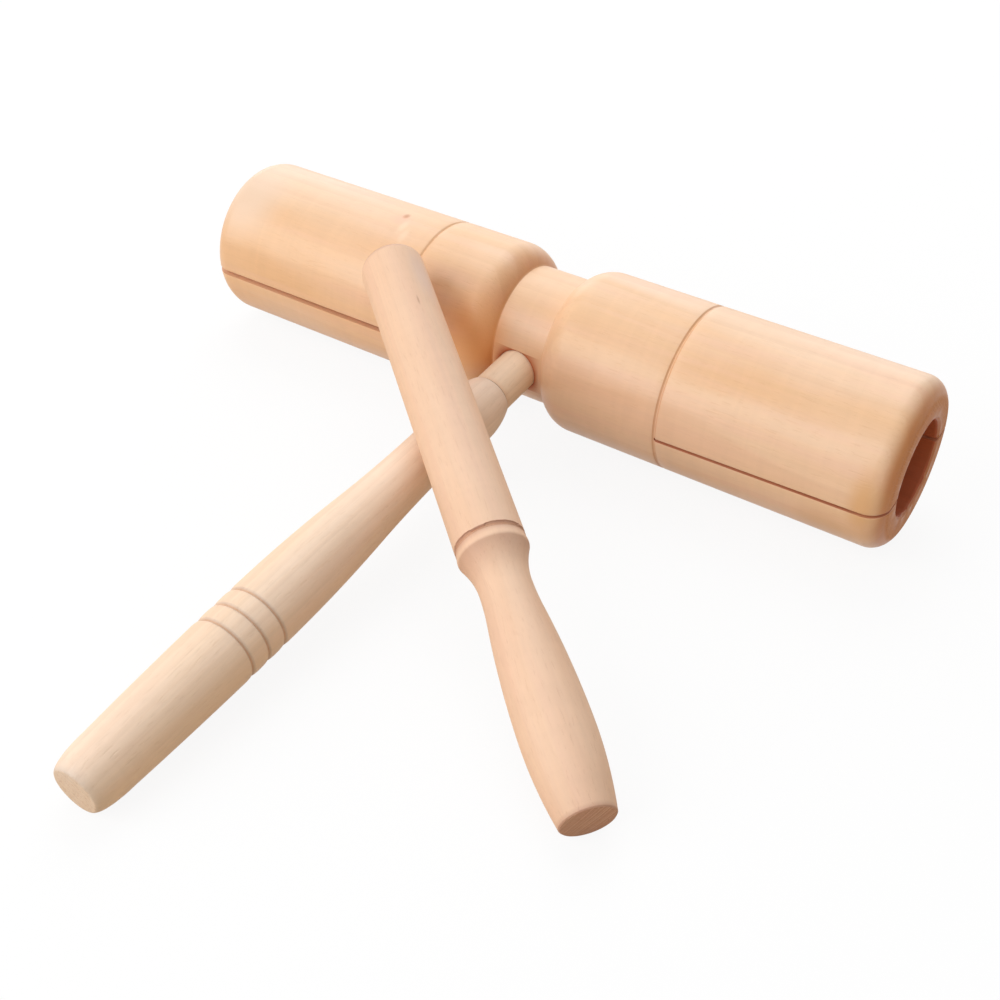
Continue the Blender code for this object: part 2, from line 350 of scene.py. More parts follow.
def makeBody():
    left = halfBody(-1, body["leftKerf"])
    right = halfBody(1, body["rightKerf"])
    stations = list(reversed(left[:-1])) + right[:-1]
    columns = bodyColumns()
    count = len(columns)
    turns = [1 if index < count // 2 else -1 for index in range(count)]
    verts, faces = [], []
    for index, (x, radius, kerfed) in enumerate(stations):
        before, after = stations[max(index - 1, 0)], stations[min(index + 1, len(stations) - 1)]
        run, rise = after[0] - before[0], after[1] - before[1]
        length = hypot(run, rise)
        lipped = kerfed and before[2] and after[2]
        for column, turn in zip(columns, turns):
            verts.append(columnPoint(column, turn, x, radius, (-rise / length, run / length), lipped))
    gaps = {index for index, column in enumerate(columns) if column[0] == "middle"}
    for row in range(len(stations) - 1):
        slotted = stations[row][2] and stations[row + 1][2]
        for index in range(count):
            other = (index + 1) % count
            if slotted and (index in gaps or other in gaps):
                continue
            here, there = row * count, (row + 1) * count
            faces.append((here + index, here + other, there + other, there + index))
    closeEnds(verts, faces, stations, count)
    closeKerfs(faces, stations, gaps, count)
    return addPiece("turned_body", verts, faces)


def closeEnds(verts, faces, stations, count):
    # The flat bottoms of both bores
    for row, bottom in ((0, stations[0][0]), (len(stations) - 1, stations[-1][0])):
        ring, centre = row * count, len(verts)
        verts.append((bottom, 0.0, 0.0))
        faces.extend((ring + index, ring + (index + 1) % count, centre) for index in range(count))


def closeKerfs(faces, stations, gaps, count):
    # Two saw walls and an end wall for each side of each chamber
    slotted = [row for row, station in enumerate(stations) if station[2]]
    split = next(i for i, (a, b) in enumerate(zip(slotted, slotted[1:])) if b > a + 1) + 1
    for rows in (slotted[:split], slotted[split:]):
        for gap in gaps:
            upper, lower = (gap - 1) % count, (gap + 1) % count
            for wall in (upper, lower):
                faces.append(tuple(row * count + wall for row in rows))
                ends = (rows[0] * count, rows[-1] * count)
                faces.append((ends[0] + gap, ends[0] + wall, ends[1] + wall, ends[1] + gap))


def wear(piece, depthAt):
    # No turned surface is quite true: points sink a little into the wood, and none stands proud
    normals = [vertex.normal.copy() for vertex in piece.data.vertices]
    for vertex, normal in zip(piece.data.vertices, normals):
        vertex.co -= normal * depthAt(vertex.co, hypot(vertex.co.y, vertex.co.z))


def ripple(point, along, across):
    # From 0 to 1, with its waves to the metre along the grain and across it
    return 0.5 + 0.5 * noise.noise(Vector((point.x * along, point.y * across, point.z * across)))


def bodyWear(point, radius):
    if abs(point.z - kerfMiddle(point.x)) < kerfHalf(point.x) + 2 * body["kerfLip"]:
        return 0.0
    chatterEdge = body["boreRadius"] + body["mouthRound"] * body["mouthChatter"]
    if radius < chatterEdge and abs(point.x) > body["neckLength"]:
        return body["boreChatter"] * ripple(point, *body["chatterWaves"])
    return body["sandingDepth"] * ripple(point, *body["sandingWaves"])


def drillSocket(piece):
    # The hole in the neck that takes the dowel
    bottom = body["neckRadius"] - handle["dowelInNeck"]
    depth = body["radius"] - bottom
    mesh = bpy.data.meshes.new("socketDrill")
    shape = bmesh.new()
    radius, segments = handle["dowelRadius"] + handle["glueGap"], body["socketSegments"]
    bmesh.ops.create_cone(
        shape, cap_ends=True, segments=segments, radius1=radius, radius2=radius, depth=depth
    )
    bmesh.ops.rotate(shape, cent=(0, 0, 0), matrix=Matrix.Rotation(pi / 2, 3, "X"), verts=shape.verts)
    bmesh.ops.translate(shape, vec=(0, -(bottom + depth / 2), 0), verts=shape.verts)
    shape.to_mesh(mesh)
    shape.free()
    drill = bpy.data.objects.new("socketDrill", mesh)
    bpy.context.scene.collection.objects.link(drill)
    cut = piece.modifiers.new("socket", "BOOLEAN")
    cut.operation = "DIFFERENCE"
    cut.solver = "EXACT"
    cut.object = drill
    graph = bpy.context.evaluated_depsgraph_get()
    piece.data = bpy.data.meshes.new_from_object(piece.evaluated_get(graph))
    piece.modifiers.clear()
    bpy.data.objects.remove(drill)


def bodyShadeAndBareWood(x, radius, point):
    # Painted shade with bare-wood tint on the kerfs' walls, the bores with their mouths, and the dowel's
    # socket
    fromGroove = abs(x) - (body["length"] / 2 - body[sideOf(x) + "Kerf"])
    inKerf = fromGroove > -slack and abs(point.z - kerfMiddle(x)) < kerfHalf(x) + slack
    if inKerf and body["boreRadius"] < radius:
        return body[sideOf(x) + "KerfShade"]
    fromBore = radius - body["boreWall"]
    if fromBore < body["mouthRound"] and abs(x) > body["neckLength"]:
        return 1.0 if fromBore < 0 else body["mouthShade"] * (1 - fromBore / body["mouthRound"])
    socket = handle["dowelRadius"] + handle["glueGap"]
    return 1.0 if hypot(x, point.z) < socket + slack and point.y < 0 else 0.0


def bodyEndTintAndShade(x, lean):
    # End-grain tint for each end and each shoulder, which also paints shade at the left shoulder and the
    # right end
    place = "End" if abs(x) > body["neckLength"] * 2 else "Shoulder"
    share, power = body[sideOf(x) + place + "Grain"]
    return share * lean**power


# Handle: dowel and grip
handle = {
    "dowelRadius": 0.0057,
    "dowelChamfer": 0.0005,
    "glueGap": 0.00012,
    "dowelInNeck": 0.0220,
    "dowelShowing": 0.0135,
    "dowelInGrip": 0.0130,
    "lip": 0.0005,
    "lipChamfer": 0.00026,
    "jointLine": 0.0007,
    "jointShadeWidth": 0.00042,
    "lipToBulb": 0.0092,
    "bulbRadius": 0.0080,
    "bulbToWaist": 0.0152,
    "waistRadius": 0.00655,
    "waistToBelly": 0.0620,
    "bellyRadius": 0.0087,
    "bellyToHeel": 0.0504,
    "heelDrop": 0.0011,
    "heelToButt": 0.0098,
    "buttDrop": 0.0021,
    "buttEase": 0.0002,
    "firstGroove": 0.0054,
    "groovePitch": 0.0053,
    "grooveCount": 3,
    "grooveWidth": 0.0013,
    "grooveDepth": 0.0005,
    "grooveShade": 0.6,
    "bandDrop": 0.00012,
    "bandRound": 0.0014,
    "sandingDepth": 0.00004,
    "sandingWaves": (30, 160),
    "segments": 160,
}
handle["gripStart"] = body["neckRadius"] + handle["dowelShowing"]
handle["bellyAt"] = handle["gripStart"] + handle["lipToBulb"] + handle["bulbToWaist"]
handle["bellyAt"] += handle["waistToBelly"]


def dowelOutline():
    inner = body["neckRadius"] - handle["dowelInNeck"] + handle["glueGap"]
    outer = handle["gripStart"] + handle["dowelInGrip"] - handle["glueGap"]
    radius, chamfer = handle["dowelRadius"], handle["dowelChamfer"]
    joint, line = handle["gripStart"], handle["jointLine"]
    points = [(inner, 0.0), (inner, radius - chamfer), (inner + chamfer, radius)]
    points += [(joint - line, radius), (joint - line / 2, radius - line / 2)]
    points += [(joint, radius - line / 2), (joint + line, radius)]
    points += [(outer - chamfer, radius), (outer, radius - chamfer), (outer, 0.0)]
    return refine(points)


def dowelJointShade(x, radius, point):
    # Painted shade: a thin dark band on the dowel where the grip's lip meets it
    return 1.0 if abs(x - handle["gripStart"]) < handle["jointShadeWidth"] else 0.0


def gripGrooves():
    first = handle["bellyAt"] + handle["firstGroove"]
    return [first + index * handle["groovePitch"] for index in range(handle["grooveCount"])]


def belowBelly(place):
    # The side draws in towards the heel, and rounds over into each groove
    share = (place - handle["bellyAt"]) / handle["bellyToHeel"]
    side = handle["bellyRadius"] - handle["heelDrop"] * share**2
    for groove in gripGrooves():
        gap = max(0.0, abs(place - groove) - handle["grooveWidth"] / 2)
        side -= handle["bandDrop"] * max(0.0, 1 - gap / handle["bandRound"]) ** 2
    return side


def gripOutline():
    socket = handle["dowelRadius"] + handle["glueGap"]
    lip = (handle["gripStart"], socket + handle["lip"])
    bulb = (lip[0] + handle["lipToBulb"], handle["bulbRadius"])
    waist = (bulb[0] + handle["bulbToWaist"], handle["waistRadius"])
    belly = (handle["bellyAt"], handle["bellyRadius"])
    heel = (belly[0] + handle["bellyToHeel"], belly[1] - handle["heelDrop"])
    butt = (heel[0] + handle["heelToButt"], heel[1] - handle["buttDrop"])
    socketEnd = lip[0] + handle["dowelInGrip"]
    chamfer = handle["lipChamfer"]
    points = [(socketEnd, 0.0), (socketEnd, socket)]
    points += [(lip[0] + chamfer, socket), (lip[0], socket + chamfer)]
    points += reversed(flare(bulb, lip))
    points += ogee(bulb, waist)[1:]
    points += ogee(waist, belly)[1:]
    for place in gripGrooves():
        edge = place - handle["grooveWidth"] / 2
        points += [(along, belowBelly(along)) for along in evenly(points[-1][0], edge, 20)[1:-1]]
        points += vGroove(place, belowBelly(place), handle["grooveWidth"], handle["grooveDepth"])
    points += [(place, belowBelly(place)) for place in evenly(points[-1][0], heel[0], 90)[1:]]
    points += quarterOval(heel, butt)[1:]
    points += [(butt[0], butt[1] - handle["buttEase"]), (butt[0], 0.0)]
    return refine(points)


def gripWear(point, radius):
    return handle["sandingDepth"] * ripple(point, *handle["sandingWaves"])


def gripShadeAndBareWood(x, radius, point):
    # Painted shade with bare-wood tint in the socket, at the lip and in the grooves, darker deeper in
    socket = handle["dowelRadius"] + handle["glueGap"] + handle["lipChamfer"]
    if radius < socket + 2 * slack and x < handle["bellyAt"]:
        return 1.0
    for place in gripGrooves():
        if abs(x - place) < handle["grooveWidth"] / 2:
            depthShare = max(0.0, (belowBelly(place) - radius) / handle["grooveDepth"])
            return handle["grooveShade"] * depthShare**2
    return 0.0


# Beater
beater = {
    "buttRadius": 0.0063,
    "buttChamfer": 0.0003,
    "buttToBelly": 0.0205,
    "bellyRadius": 0.0083,
    "bellyToWaist": 0.0365,
    "waistTurnShare": 0.78,
    "waistRadius": 0.00615,
    "waistToBead": 0.0095,
    "beadRadius": 0.00855,
    "beadBevelLength": 0.0023,
    "beadBevelDrop": 0.0003,
    "beadEase": 0.0008,
    "grooveWidth": 0.0010,
    "grooveDepth": 0.0005,
    "grooveShade": 0.45,
    "headRadius": 0.0084,
    "headLength": 0.0916,
    "tipLength": 0.0045,
    "tipFlatRadius": 0.0024,
    "sandingDepth": 0.00004,
    "sandingWaves": (30, 160),
    "tornLength": 0.0007,
    "tornDepth": 0.00022,
    "tornOverGroove": 0.3,
    "tornWaves": 1500,
    "patchWaves": 170,
    "patchLevel": 0.42,
    "patchGain": 3,
    "segments": 288,
}
beater["waistAt"] = beater["buttToBelly"] + beater["bellyToWaist"]
beater["beadTop"] = beater["waistAt"] + beater["waistToBead"] + beater["beadBevelLength"]
beater["grooveAt"] = beater["beadTop"] + beater["grooveWidth"] / 2


def beaterOutline():
    belly = (beater["buttToBelly"], beater["bellyRadius"])
    waist = (beater["waistAt"], beater["waistRadius"])
    bead = (waist[0] + beater["waistToBead"], beater["beadRadius"])
    headRadius, chamfer, butt = beater["headRadius"], beater["buttChamfer"], beater["buttRadius"]
    tipStart = (beater["beadTop"] + beater["grooveWidth"] + beater["headLength"], headRadius)
    tipEnd = (tipStart[0] + beater["tipLength"], beater["tipFlatRadius"])
    points = [(0.0, 0.0), (0.0, butt - 2 * chamfer), (0.0, butt - chamfer)]
    points += reversed(flare(belly, (chamfer, butt)))
    points += ogee(belly, waist, beater["waistTurnShare"])[1:]
    points += flare(waist, bead)[1:]
    beadEdge = len(points) - 1
    points.append((beater["beadTop"], bead[1] - beater["beadBevelDrop"]))
    points = easeCorner(points, beadEdge, beater["beadEase"])
    points += vGroove(beater["grooveAt"], headRadius, beater["grooveWidth"], beater["grooveDepth"])[1:]
    lip = points[-1][0]
    points += [(place, headRadius) for place in evenly(lip, lip + beater["tornLength"], 9)[1:]]
    points += quarterOval(tipStart, tipEnd)
    points.append((tipEnd[0], 0.0))
    return refine(points)


def beaterWear(point, radius):
    # Fibres tore out of the head's side of the groove, in patches round it
    depth = beater["sandingDepth"] * ripple(point, *beater["sandingWaves"])
    fromLip = point.x - beater["grooveAt"] - beater["grooveWidth"] / 2
    around = Vector((0, point.y, point.z))
    patch = max(0.0, ripple(around, 0, beater["patchWaves"]) - beater["patchLevel"])
    torn = beater["tornLength"] * patch * beater["patchGain"] * ripple(around, 0, beater["tornWaves"])
    if torn > 0 and -beater["tornOverGroove"] * beater["grooveWidth"] < fromLip < torn:
        depth += beater["tornDepth"] * (1 - max(0.0, fromLip) / torn)
    return depth


def beaterShadeAndBareWood(x, radius, point):
    # Painted shade in the groove, darker the deeper it goes
    if abs(x - beater["grooveAt"]) < beater["grooveWidth"] / 2:
        depthShare = max(0.0, (beater["headRadius"] - radius) / beater["grooveDepth"])
        return beater["grooveShade"] * depthShare**2
    return 0.0


print("turning the tone body")
toneBody = makeBody()
wear(toneBody, bodyWear)
drillSocket(toneBody)
settle(toneBody, bodyPlace, bodyShadeAndBareWood, bodyEndTintAndShade)
print("turning the handle and the beater")
dowel = turned("plain_dowel", dowelOutline(), handle["segments"])
settle(dowel, handlePlace, dowelJointShade)
grip = turned("turned_grip", gripOutline(), handle["segments"])
wear(grip, gripWear)
settle(grip, handlePlace, gripShadeAndBareWood)
stick = turned("turned_beater", beaterOutline(), beater["segments"])
wear(stick, beaterWear)
settle(stick, beaterPlace, beaterShadeAndBareWood)


# Shared wood effects, as node groups with named inputs and outputs
def newGroup(name, inputs, outputs):
    group = bpy.data.node_groups.new(name, "ShaderNodeTree")
    kinds = {"value": "NodeSocketFloat", "colour": "NodeSocketColor", "vector": "NodeSocketVector"}
    for label, kind in inputs.items():
        group.interface.new_socket(label, in_out="INPUT", socket_type=kinds[kind])
    for label, kind in outputs.items():
        group.interface.new_socket(label, in_out="OUTPUT", socket_type=kinds[kind])
    return group, group.nodes.new("NodeGroupInput").outputs, group.nodes.new("NodeGroupOutput").inputs


def connect(tree, value, socket):
    if isinstance(value, bpy.types.NodeSocket):
        tree.links.new(value, socket)
    else:
        socket.default_value = value


def addNode(tree, kind, inputs, **settings):
    node = tree.nodes.new(kind)
    for name, value in settings.items():
        setattr(node, name, value)
    for key, value in inputs.items():
        connect(tree, value, node.inputs[key])
    return node


def calc(tree, operation, *values):
    return addNode(tree, "ShaderNodeMath", dict(enumerate(values)), operation=operation).outputs[0]


def calcVector(tree, operation, *values):
    return addNode(tree, "ShaderNodeVectorMath", dict(enumerate(values)), operation=operation).outputs


def blend(tree, share, first, second, kind="MIX"):
    node = addNode(tree, "ShaderNodeMix", {}, data_type="RGBA", blend_type=kind)
    for socket, value in ((node.inputs[0], share), (node.inputs[6], first), (node.inputs[7], second)):
        connect(tree, value, socket)
    return node.outputs[2]


def soften(tree, value, low, high, outLow=0.0, outHigh=1.0):
    inputs = {"Value": value, "From Min": low, "From Max": high, "To Min": outLow, "To Max": outHigh}
    return addNode(tree, "ShaderNodeMapRange", inputs, interpolation_type="SMOOTHSTEP").outputs[0]


def grainNoise(tree, place, waves, detail=2.0, distortion=0.0):
    # Noise with its own fineness along the grain and across it, in waves to the metre
    scaled = calcVector(tree, "MULTIPLY", place, (waves[0], waves[1], waves[1]))[0]
    inputs = {"Vector": scaled, "Scale": 1.0, "Detail": detail, "Distortion": distortion}
    return addNode(tree, "ShaderNodeTexNoise", inputs)


# Noise waves are to the metre, along the grain and across it
figure = {
    "swayWaves": (7.0, 34.0),
    "lateWood": (0.2, 0.9),
    "lateWoodEnd": (0.92, 1.0),
    "rayCount": 130.0,
    "rays": (0.52, 0.72),
    "marks": {
        "Clouds": {"waves": (13.0, 52.0), "detail": 2.0, "distortion": 0.4, "between": (0.30, 0.70)},
        "Blush": {"waves": (18.0, 170.0), "detail": 2.0, "distortion": 0.3, "between": (0.42, 0.75)},
        "Streaks": {"waves": (26.0, 1150.0), "detail": 4.0, "distortion": 0.0, "between": (0.30, 0.70)},
        "Flame": {"waves": (300.0, 45.0), "detail": 2.0, "distortion": 0.6, "between": (0.30, 0.70)},
        "Pores": {"waves": (300.0, 2600.0), "detail": 1.0, "distortion": 0.0, "between": (0.60, 0.72)},
    },
}


def makeTurnedFigure(values):
    # What the tree leaves on a turned surface, each as a share from 0 to 1
    inputs = {"Place": "vector", "Pith": "vector", "Ring Width": "value", "Sway": "value", "Seed": "value"}
    names = ("Rings", "Clouds", "Blush", "Streaks", "Flame", "Pores", "Rays")
    group, given, result = newGroup("turnedFigure", inputs, {name: "value" for name in names})
    seeds = addNode(group, "ShaderNodeCombineXYZ", {0: given["Seed"], 1: given["Seed"], 2: given["Seed"]})
    place = calcVector(group, "ADD", given["Place"], seeds.outputs[0])[0]
    swing = grainNoise(group, place, values["swayWaves"], 3.0).outputs["Color"]
    centred = calcVector(group, "SUBTRACT", swing, (0.5, 0.5, 0.5))[0]
    scale = {0: centred, "Scale": given["Sway"]}
    bent = addNode(group, "ShaderNodeVectorMath", scale, operation="SCALE").outputs[0]
    placed = calcVector(group, "SUBTRACT", given["Place"], given["Pith"])[0]
    fromPith = calcVector(group, "ADD", placed, bent)[0]
    across = calcVector(group, "MULTIPLY", fromPith, (0.0, 1.0, 1.0))[0]
    distance = calcVector(group, "LENGTH", across)["Value"]
    season = calc(group, "FRACT", calc(group, "DIVIDE", distance, given["Ring Width"]))
    late = soften(group, season, *values["lateWood"])
    ended = soften(group, season, *values["lateWoodEnd"], 1.0, 0.0)
    group.links.new(calc(group, "MULTIPLY", late, ended), result["Rings"])
    for name, mark in values["marks"].items():
        noisy = grainNoise(group, place, mark["waves"], mark["detail"], mark["distortion"])
        group.links.new(soften(group, noisy.outputs["Fac"], *mark["between"]), result[name])
    parts = addNode(group, "ShaderNodeSeparateXYZ", {0: fromPith}).outputs
    turn = calc(group, "MULTIPLY", calc(group, "ARCTAN2", parts[2], parts[1]), values["rayCount"])
    inputs = {"W": turn, "Scale": 1.0, "Detail": 1.0}
    ray = addNode(group, "ShaderNodeTexNoise", inputs, noise_dimensions="1D")
    group.links.new(soften(group, ray.outputs["Fac"], *values["rays"]), result["Rays"])
    return group


# How far a surface leans towards end grain, from 0 to 1, where each thing starts to show
endGrain = {
    "tintFull": 0.78,
    "raysFrom": 0.8,
    "poresFrom": 0.75,
    "openPores": 0.4,
    "roughFrom": 0.75,
}


def makeWoodColour(values):
    # Pale wood that goes warmer in clouds, pinker in streaks, darker in rings, pores and end grain, with
    # painted shade and bare-wood tint in cuts
    marks = ("Rings", "Clouds", "Blush", "Streaks", "Flame", "Pores", "Rays", "End", "Shade And Bare Wood")
    inputs = {name: "value" for name in marks}
    inputs |= {name + " Share": "value" for name in marks}
    inputs |= {name: "colour" for name in ("Pale", "Warm", "Pink", "Line", "End Tint", "Bare Wood Shade Tint")}
    group, given, result = newGroup("woodColour", inputs, {"Colour": "colour"})
    share = {name: calc(group, "MULTIPLY", given[name], given[name + " Share"]) for name in marks}
    colour = blend(group, share["Clouds"], given["Pale"], given["Warm"])
    colour = blend(group, share["Blush"], colour, given["Pink"])
    colour = blend(group, share["Rings"], colour, given["Line"])
    swing = calc(group, "ADD", share["Streaks"], share["Flame"])
    middle = calc(group, "MULTIPLY", calc(group, "ADD", given["Streaks Share"], given["Flame Share"]), -0.5)
    level = calc(group, "ADD", calc(group, "ADD", swing, middle), 1.0)
    shade = addNode(group, "ShaderNodeCombineColor", {0: level, 1: level, 2: level}).outputs[0]
    colour = blend(group, 1.0, colour, shade, "MULTIPLY")
    colour = blend(group, share["Pores"], colour, given["Line"])
    tinted = soften(group, given["End"], 0.0, values["tintFull"])
    end = calc(group, "MULTIPLY", tinted, given["End Share"])
    colour = blend(group, end, colour, blend(group, 1.0, colour, given["End Tint"], "MULTIPLY"))
    rays = calc(group, "MULTIPLY", share["Rays"], soften(group, given["End"], values["raysFrom"], 1.0))
    colour = blend(group, rays, colour, given["Pale"])
    opened = soften(group, given["End"], values["poresFrom"], 1.0, 0.0, values["openPores"])
    pores = calc(group, "MULTIPLY", given["Pores"], opened)
    colour = blend(group, pores, colour, blend(group, 1.0, colour, given["Bare Wood Shade Tint"], "MULTIPLY"))
    # Painted shade with the tint of bare wood in cuts, grooves and joints
    colour = blend(group, share["Shade And Bare Wood"], colour, blend(group, 1.0, colour, given["Bare Wood Shade Tint"], "MULTIPLY"))
    group.links.new(colour, result["Colour"])
    return group


ridges = {
    "streaks": 0.5,
    "rings": 0.4,
}


def makeWoodRelief(heights, bareFrom):
    # Height for the bump, and how rough the surface is
    names = ("Streaks", "Pores", "Rings", "End", "Shade And Bare Wood", "Smooth Wood", "Fibre Spread", "Bare End")
    outputs = {"Height": "value", "Roughness": "value"}
    group, given, result = newGroup("woodRelief", {name: "value" for name in names}, outputs)
    streaks = calc(group, "MULTIPLY", given["Streaks"], heights["streaks"])
    proud = calc(group, "ADD", streaks, calc(group, "MULTIPLY", given["Rings"], heights["rings"]))
    group.links.new(calc(group, "SUBTRACT", proud, given["Pores"]), result["Height"])
    bare = calc(group, "MAXIMUM", soften(group, given["End"], bareFrom, 1.0), given["Shade And Bare Wood"])
    rough = calc(group, "MULTIPLY_ADD", given["Streaks"], given["Fibre Spread"], given["Smooth Wood"])
    rough = calc(group, "MULTIPLY_ADD", bare, given["Bare End"], rough)
    group.links.new(calc(group, "MINIMUM", rough, 1.0), result["Roughness"])
    return group


def makeSpot(heart):
    # A mark in the wood, from 1 in its heart to 0 at its size
    inputs = {"Place": "vector", "Centre": "vector", "Size": "vector"}
    group, given, result = newGroup("woodSpot", inputs, {"Mark": "value"})
    fromCentre = calcVector(group, "SUBTRACT", given["Place"], given["Centre"])[0]
    scaled = calcVector(group, "DIVIDE", fromCentre, given["Size"])[0]
    far = calcVector(group, "LENGTH", scaled)["Value"]
    group.links.new(soften(group, far, heart, 1.0, 1.0, 0.0), result["Mark"])
    return group


print("growing the wood")
effects = {
    "figure": makeTurnedFigure(figure),
    "colour": makeWoodColour(endGrain),
    "relief": makeWoodRelief(ridges, endGrain["roughFrom"]),
    "spot": makeSpot(heart=0.15),
}


def linear(channel):
    # From the colour as it is seen to the amount of light
    if channel <= 0.04045:
        return channel / 12.92
    return ((channel + 0.055) / 1.055) ** 2.4


def paint(colour):
    return (*[linear(channel) for channel in colour], 1.0)


lacqueredWood = {
    "pith": (0.0, 0.034, -0.019),
    "ringWidth": 0.0041,
    "sway": 0.0065,
    "seed": 1.7,
    "pale": (0.942, 0.796, 0.662),
    "warm": (0.920, 0.728, 0.535),
    "pink": (0.945, 0.762, 0.662),
    "line": (0.83, 0.61, 0.42),
    "endTint": (0.84, 0.65, 0.42),
    "shadeAndBareWoodTint": (0.78, 0.48, 0.33),
    "shares": {
        "Rings": 0.12, "Clouds": 0.80, "Blush": 0.40, "Streaks": 0.03, "Flame": 0.03, "Pores": 0.12,
        "Rays": 0.12, "End": 1.0, "Shade And Bare Wood": 1.0,
    },
    "smoothWood": 0.38,
    "fibreSpread": 0.06,
    "bareEnd": 0.30,
    "bumpDepth": 0.00002,
    "coat": 0.08,
    "coatRoughness": 0.24,
    "spots": {
        "knotHalo": {
            "centre": (-0.0487, -0.0008, 0.0225), "size": (0.0052, 0.0036, 0.0030),
            "tint": (0.95, 0.74, 0.62), "share": 0.7,
        },
        "knot": {
            "centre": (-0.0487, 0.0014, 0.0225), "size": (0.0014, 0.0019, 0.0015),
            "tint": (0.76, 0.48, 0.29), "share": 0.75,
        },
        "paleStreak": {
            "centre": (-0.0466, -0.0032, 0.0223), "size": (0.0016, 0.0040, 0.0030),
            "tint": (0.97, 0.85, 0.73), "share": 0.5,
        },
        "fadingStreak": {
            "centre": (-0.0443, -0.0062, 0.0216), "size": (0.0016, 0.0040, 0.0036),
            "tint": (0.97, 0.85, 0.73), "share": 0.45,
        },
        # Painted shade with warm bounce light, where the beater shades the left shoulder
        "paintedShoulderShade": {
            "centre": (-0.0130, -0.0190, 0.0080), "size": (0.0130, 0.0150, 0.0160),
            "tint": (0.99, 0.69, 0.39), "share": 0.6,
        },
        "warmRightEnd": {
            "centre": (0.1000, -0.0215, 0.0020), "size": (0.0052, 0.0150, 0.0150),
            "tint": (0.882, 0.690, 0.495), "share": 0.95,
        },
        # Painted shade: the lower front of the right end, darker and warmer
        "paintedUndersideShade": {
            "centre": (0.0915, -0.0195, -0.0100), "size": (0.0130, 0.0110, 0.0110),
            "tint": (0.87, 0.69, 0.50), "share": 0.7,
        },
        "paleLeftEnd": {
            "centre": (-0.0980, -0.0100, 0.0200), "size": (0.0160, 0.0200, 0.0150),
            "tint": (0.935, 0.822, 0.725), "share": 0.75,
        },
    },
}
dowelWood = {
    "pith": (0.0, 0.012, 0.020),
    "ringWidth": 0.0016,
    "sway": 0.0012,
    "seed": 4.2,
    "pale": (0.985, 0.900, 0.805),
    "warm": (0.965, 0.830, 0.690),
    "pink": (0.970, 0.840, 0.730),
    "line": (0.80, 0.64, 0.49),
    "endTint": (0.92, 0.82, 0.72),
    "shadeAndBareWoodTint": (0.66, 0.44, 0.28),
    "shares": {
        "Rings": 0.10, "Clouds": 0.6, "Blush": 0.3, "Streaks": 0.05, "Flame": 0.0, "Pores": 0.12,
        "Rays": 0.4, "End": 0.8, "Shade And Bare Wood": 0.9,
    },
    "smoothWood": 0.56,
    "fibreSpread": 0.12,
    "bareEnd": 0.2,
    "bumpDepth": 0.00003,
    "spots": {},
}
gripWood = {
    "pith": (0.0, -0.028, 0.016),
    "ringWidth": 0.0030,
    "sway": 0.0040,
    "seed": 8.9,
    "pale": (0.970, 0.866, 0.772),
    "warm": (0.948, 0.815, 0.680),
    "pink": (0.955, 0.820, 0.722),
    "line": (0.82, 0.65, 0.50),
    "endTint": (0.90, 0.93, 0.97),
    "shadeAndBareWoodTint": (0.84, 0.68, 0.54),
    "shares": {
        "Rings": 0.10, "Clouds": 0.7, "Blush": 0.4, "Streaks": 0.05, "Flame": 0.015, "Pores": 0.10,
        "Rays": 0.8, "End": 0.8, "Shade And Bare Wood": 0.8,
    },
    "smoothWood": 0.54,
    "fibreSpread": 0.12,
    "bareEnd": 0.25,
    "bumpDepth": 0.00003,
    "spots": {},
}
beaterWood = {
    "pith": (0.0, 0.020, -0.030),
    "ringWidth": 0.0034,
    "sway": 0.0030,
    "seed": 13.3,
    "pale": (0.938, 0.795, 0.680),
    "warm": (0.920, 0.752, 0.618),
    "pink": (0.936, 0.765, 0.665),
    "line": (0.76, 0.56, 0.42),
    "endTint": (0.80, 0.72, 0.71),
    "shadeAndBareWoodTint": (0.84, 0.68, 0.52),
    "shares": {
        "Rings": 0.05, "Clouds": 0.6, "Blush": 0.35, "Streaks": 0.03, "Flame": 0.02, "Pores": 0.10,
        "Rays": 0.5, "End": 0.9, "Shade And Bare Wood": 0.8,
    },
    "smoothWood": 0.56,
    "fibreSpread": 0.12,
    "bareEnd": 0.25,
    "bumpDepth": 0.00003,
    "spots": {
        "fleck": {
            "centre": (0.1414, -0.0014, 0.0083), "size": (0.0024, 0.0004, 0.0006),
            "tint": (0.70, 0.49, 0.38), "share": 0.55,
        },
        "greyTip": {
            "centre": (0.1520, -0.0055, 0.0062), "size": (0.0130, 0.0050, 0.0050),
            "tint": (0.88, 0.77, 0.71), "share": 0.55,
        },
    },
}


